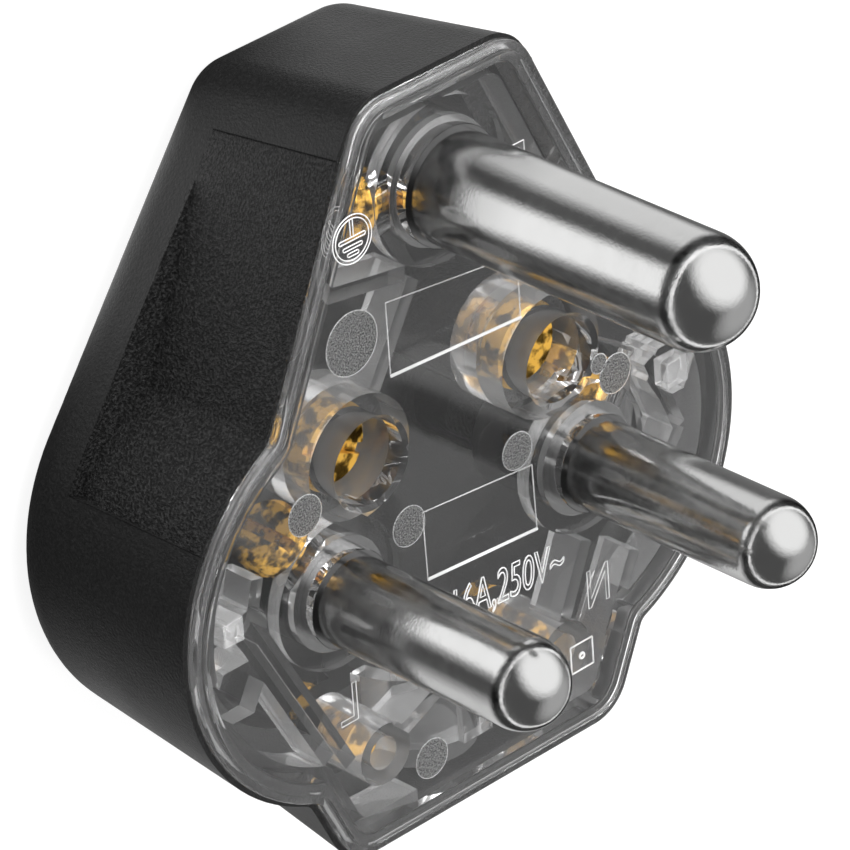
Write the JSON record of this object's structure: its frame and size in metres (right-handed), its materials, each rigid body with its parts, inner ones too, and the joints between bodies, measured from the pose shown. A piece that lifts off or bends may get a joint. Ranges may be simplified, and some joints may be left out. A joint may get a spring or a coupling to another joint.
{
  "type": "rubber plug top",
  "caption": "Cord plug with round pins: black rubber-like cover with grip recesses, clear moulded base over brass terminals, side-screwed pin heads and a clamped cord inlet.",
  "frame": {"origin": "on the flat back face, under the middle of the line between the live and neutral pins", "axes": "+X towards the neutral pin, +Y towards the earth pin, +Z along the pins away from the back face"},
  "size_m": [0.0562, 0.0609, 0.0488],
  "materials": {
    "cover_rubber": "fine-grained black moulding, semi-matt",
    "clear_plastic": "clear polished plastic moulding",
    "nickel_plate": "bright nickel plate on turned brass",
    "screw_brass": "bright turned brass",
    "clamp_plastic": "dark plastic moulding"
  },
  "bodies": {
    "root": {"cover": "cover_rubber", "base": "clear_plastic", "earth_pin": "nickel_plate", "live_pin": "nickel_plate", "neutral_pin": "nickel_plate", "earth_terminal_screw": "screw_brass", "live_terminal_screw": "screw_brass", "neutral_terminal_screw": "screw_brass", "fixing_screw_left": "screw_brass", "fixing_screw_right": "screw_brass", "threaded_insert_left": "screw_brass", "threaded_insert_right": "screw_brass", "cord_clamp": "clamp_plastic", "clamp_screw_left": "screw_brass", "clamp_screw_right": "screw_brass"}
  },
  "joints": []
}
